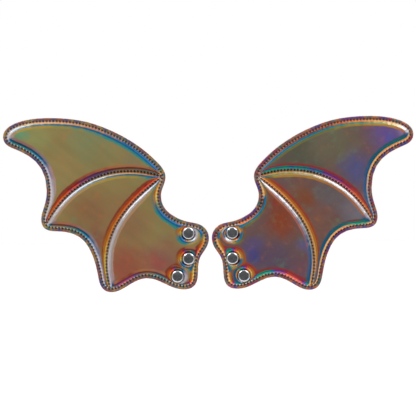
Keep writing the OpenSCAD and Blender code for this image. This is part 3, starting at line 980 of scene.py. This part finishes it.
def foil_bearing(f, side, foil, where, out, up):
    """Which way a slope faces, as a place from 0 to 1 on the colour wheels."""
    bearing = f.node("ShaderNodeMath", {"operation": "ARCTAN2"}, {0: up, 1: out}) / (2 * math.pi) + 0.5
    bearing = bearing + (f.noise(where, 120, 2.0, 0.5) - 0.5) * 0.035
    far_out = where.split()[0] * SIDES[side]
    return bearing + far_out.ramp(*NEAR_ROOT) * (foil["near_shift"] / 360)


def foil_vinyl(name, side, foil):
    """Foil-backed vinyl: pools of interference colour on the flats, and colour by direction on the slopes,
    partly painted reflection and highlights of the lamps.
    """
    f = Finish(name)
    where = f.place()
    out, up = f.mark("tilt_out"), f.mark("tilt_up")
    slope = (out * out + up * up) ** 0.5
    bearing = foil_bearing(f, side, foil, where, out, up)
    colour = foil_flats(f, side, foil, where)
    # the slopes are coloured by the way they face: partly the foil's interference colour, partly painted
    # reflection of the room, with painted highlights where they face the lamps
    for colours, ends in zip(foil["wheels"], WHEEL_SLOPES):
        facing = wheel(bearing, colours)
        colour = colour.into(facing, slope.ramp(*ends))

    # painted shade along the foot of the seam under the stitches, and a painted glint on the vinyl drawn up
    # tight between the stitches
    away, bulge, margin = f.mark("seam_away"), f.mark("bulge"), f.mark("margin")
    foot = away.ramp(2.4, 0.9)
    colour = colour.times((0.62, 0.62, 0.68, 1.0), foot * bulge * (1.0 - margin) * 0.8)
    between = bulge.ramp(0.55, 0.2)
    painted_glint = facing.into(paint((255, 232, 206)), 0.42)
    colour = colour.into(painted_glint, between * away.ramp(1.5, 0.8) * (1.0 - margin))

    # the margin outside the seam, with its cut edge
    band = f.noise(where, 62, 2.0, 0.5).ramp(0.3, 0.7).shades(*foil["margin"])
    band = band.into(paint((70, 84, 112)), bulge.ramp(0.3, 0.9) * away.ramp(2.2, 0.9) * 0.5)
    # a painted glint on the margin between the stitches
    band = band.into(band.into(paint(foil["outer_glint"]), 0.5), between * away.ramp(1.8, 0.9))
    colour = colour.into(band, margin * 0.92)
    rim = away.ramp(INSET / MM - 0.9, INSET / MM - 0.3) * margin
    colour = colour.into(paint((150, 100, 84)), rim * 0.75)

    # painted light: the flats and the undersides are painted lighter and the upper sides a little darker, to
    # even out the light on each slope
    steep_gain = UNDERSIDE_GAIN + (UPPER_SIDE_GAIN - UNDERSIDE_GAIN) * up.ramp(-0.3, 0.3)
    flatness = slope.ramp(*FLAT_SLOPES)
    gain = foil["flat_gain"] * flatness + steep_gain * (1.0 - flatness)
    colour = f.vector("MINIMUM", colour.times(gain.as_grey()), BRIGHTEST)

    # painted shade in the crease under the thread
    colour = colour.into(paint((24, 18, 20)), away.ramp(0.5, 0.2) * bulge.ramp(0.5, 0.9) * 0.7)

    relief = f.bumped(f.noise(where, 1500, 2.0, 0.5), 0.02 * MM, 0.3)
    relief = f.bumped(f.noise(where, 160, 3.0, 0.5), 0.12 * MM, 0.25, relief)
    return f.surface(Base_Color=colour, Metallic=0.55, Roughness=0.28 + 0.1 * away.ramp(0.8, 0.2),
                     Coat_Weight=0.08, Coat_Roughness=0.1, Normal=relief)


def thread_finish():
    f = Finish("charcoal_thread")
    turn, along, _ = f.node("ShaderNodeUVMap", {"uv_map": "ply"}).split()
    ply = (turn * (6 * math.pi) + along * 5.2).sine() * 0.5 + 0.5
    fuzz = f.noise(f.place(), 4200, 2.0, 0.6)
    # the grooves between the plies are painted darker, in step with the relief: painted shade
    shade = (ply * 0.7 + fuzz * 0.3).shades((0.0, (16, 14, 16)), (1.0, (62, 58, 62)))
    relief = f.bumped(ply, 0.07 * MM, 0.9)
    return f.surface(Base_Color=shade, Roughness=0.42 + 0.2 * fuzz, Normal=relief, Specular_IOR_Level=0.5,
                     Sheen_Weight=0.2)


def metal_finish(name, tint, dark, rough, scratches):
    f = Finish(name)
    where = f.place()
    smudge = f.noise(where, 240, 4.0, 0.6)
    fine = f.noise(f.place((600, 600, 5200), 0.6), 1.0, 2.0, 0.6)
    colour = smudge.shades((0.25, dark), (0.75, tint))
    relief = f.bumped(fine, 0.01 * MM, scratches)
    relief = f.bumped(f.noise(where, 420, 2.0, 0.5), 0.06 * MM, 0.2, relief)
    return f.surface(Base_Color=colour, Metallic=1.0, Roughness=rough + 0.12 * smudge, Normal=relief)


def foam_finish():
    f = Finish("black_foam")
    where = f.place()
    cells = f.node("ShaderNodeTexVoronoi", None, {"Vector": where, "Scale": 2600}, "Distance")
    # the pits of the cells are painted darker, in step with the relief: painted shade
    colour = cells.shades((0.0, (30, 29, 31)), (1.0, (66, 64, 68)))
    return f.surface(Base_Color=colour, Roughness=0.9 - 0.1 * cells, Normal=f.bumped(cells, 0.1 * MM, 0.8))


def board_finish():
    f = Finish("backing_board")
    where = f.place()
    fibre = f.noise(f.place((900, 900, 260), 0.3), 1.0, 4.0, 0.7)
    flecks = f.noise(where, 1400, 2.0, 0.6)
    colour = (fibre * 0.6 + flecks * 0.4).shades((0.2, (176, 168, 150)), (0.8, (214, 207, 190)))
    return f.surface(Base_Color=colour, Roughness=0.8 + 0.1 * flecks, Normal=f.bumped(fibre, 0.05 * MM, 0.5))


def dress(piece, material):
    piece.data.materials.clear()
    piece.data.materials.append(material)


# ---------------------------------------------------------------- the two wings

THREAD = thread_finish()
CAP_METAL = metal_finish("bright_nickel", (226, 228, 232), (188, 190, 196), 0.1, 0.35)
SOCKET_METAL = metal_finish("satin_nickel", (214, 216, 220), (170, 172, 178), 0.24, 0.8)
SPRING_METAL = metal_finish("spring_wire", (196, 198, 202), (150, 152, 158), 0.2, 0.6)
FOAM = foam_finish()
BOARD = board_finish()

pattern = Pattern()
pattern_tree = tree_of(pattern.points)


def wing(side, seed):
    draw = np.random.default_rng(seed)
    layers = Layers(pattern, seed)
    parts = (("front_vinyl", layers.front, layers.under_front, "front", "front_skin", "front_vinyl", 0.9),
             ("foam", layers.under_front, layers.over_back, None, "padding", "foam", 0.9),
             ("back_vinyl", layers.over_back, layers.back, "back", "back_skin", "back_vinyl", 0.8))
    finishes = {"front_vinyl": foil_vinyl(f"{side}_front_foil", side, FOILS[side]), "foam": FOAM,
                "back_vinyl": foil_vinyl(f"{side}_back_foil", side, FOILS["back"])}
    for name, high, low, facing, node, slot, fill in parts:
        piece = layer(f"{side}_{name}", side, pattern, high, low, facing, layers.bulge)
        dress(piece, finishes[name])
        bend_at_flex_line(piece)
        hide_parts(f"{side}_{node}_tab", f"{side}_{node}_sail")

    seats = (Seat(pattern_tree, layers.front), Seat(pattern_tree, layers.back))
    (edge, _), *ribs = pattern.seams.lines
    piece = row_of_stitches(f"{side}_edge_thread", side, edge, 0, seats, draw)
    bend_at_flex_line(piece)
    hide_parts(f"{side}_edge_stitching_tab", f"{side}_edge_stitching_sail")
    dress(piece, THREAD)
    for name, (line, _) in zip(RIBS, ribs):
        piece = row_of_stitches(f"{side}_{name}_rib_thread", side, line, 1, seats, draw)
        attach(piece, f"{side}_sail")
        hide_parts(f"{side}_{name}_rib_stitching")
        dress(piece, THREAD)

    for stud in STUD_NAMES:
        cap, socket = press_stud(side, stud)
        dress(cap, CAP_METAL)
        dress(socket, SOCKET_METAL)
        dress(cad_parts[f"{side}_{stud}_stud_spring"], SPRING_METAL)
    dress(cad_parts[f"{side}_tab_board"], BOARD)


wing("left", 3)
wing("right", 8)


# ---------------------------------------------------------------- camera, light and floor

SENSOR, LENS = 36, 84.17       # mm
CAMERA_TURN, CAMERA_TILT, CAMERA_ROLL = -1.61, 0.36, -0.55          # degrees
CAMERA_FROM_MIDDLE = (-0.00205, -1.0, 0.0017)
MIDDLE = (0, 0, 0.05)
FLOOR_SIZE = 16
FLOOR_HEIGHT = -0.45
FLOOR_FRONT = -0.35            # the floor starts just ahead of the wings, so that the caps mirror a dark room
SOFT_BOX = (0.9, 0.7)
LIT = (0, 0, 0.04)             # what the lamps are aimed at


def turned(degrees, axis):
    return Matrix.Rotation(math.radians(degrees), 4, axis)


def set_camera():
    data = bpy.data.cameras.new("camera")
    data.sensor_width = SENSOR
    data.lens = LENS
    camera = bpy.data.objects.new("camera", data)
    bpy.context.scene.collection.objects.link(camera)
    turn = turned(CAMERA_TURN, "Z") @ turned(CAMERA_TILT, "X")
    spot = Vector(MIDDLE) + turn.to_3x3() @ Vector(CAMERA_FROM_MIDDLE)
    level = turned(90, "X")
    camera.matrix_world = Matrix.Translation(spot) @ turn @ level @ turned(CAMERA_ROLL, "Z")
    bpy.context.scene.camera = camera


def soft_box(name, place, watts):
    data = bpy.data.lights.new(name, "AREA")
    data.shape = "RECTANGLE"
    data.size, data.size_y = SOFT_BOX
    data.energy = watts
    light = bpy.data.objects.new(name, data)
    light.location = place
    light.rotation_euler = (Vector(LIT) - Vector(place)).to_track_quat("-Z", "Y").to_euler()
    bpy.context.scene.collection.objects.link(light)


def set_world():
    """A plain white room, darker behind the camera, so that the foil and the metal have something to show."""
    world = bpy.data.worlds.new("studio")
    bpy.context.scene.world = world
    world.use_nodes = True
    room = Nodes(world.node_tree)
    background = room.tree.nodes["Background"]
    across, ahead, up = room.node("ShaderNodeTexCoord", out="Generated").split()
    shade = 0.9 - 0.4 * ahead.ramp(-0.1, -0.9)
    shade = shade + 0.2 * up.ramp(0.1, 0.7) - 0.15 * across.ramp(0.2, 0.9)
    shade = shade * (1.0 - 0.78 * ahead.ramp(-0.5, -0.74))
    strength = room.node("ShaderNodeMix", None, {0: room.node("ShaderNodeLightPath", out="Is Camera Ray"),
                                                 2: shade, 3: 1.0})
    room.feed(background.inputs[0], (1, 1, 1, 1))
    room.feed(background.inputs[1], strength)


def set_floor():
    bpy.ops.object.select_all(action="DESELECT")
    bpy.ops.mesh.primitive_grid_add(x_subdivisions=8, y_subdivisions=8, size=FLOOR_SIZE,
                                    location=(0, FLOOR_FRONT + FLOOR_SIZE / 2, FLOOR_HEIGHT))
    floor = bpy.context.object
    floor.name = "floor"
    f = Finish("pale_floor")
    colour = f.noise(f.place(), 3.0, 2.0, 0.5).shades((0.0, (236, 236, 238)), (1.0, (246, 246, 248)))
    dress(floor, f.surface(Base_Color=colour, Roughness=0.7, Emission_Color=(1, 1, 1, 1),
                           Emission_Strength=0.22))


set_camera()
set_world()
soft_box("over_left", (-0.9, -0.7, 1.1), 7)
soft_box("over_right", (0.9, -0.7, 1.0), 5)
soft_box("behind", (0.3, 1.2, 0.7), 8)
set_floor()
bpy.context.scene.view_settings.view_transform = "Standard"
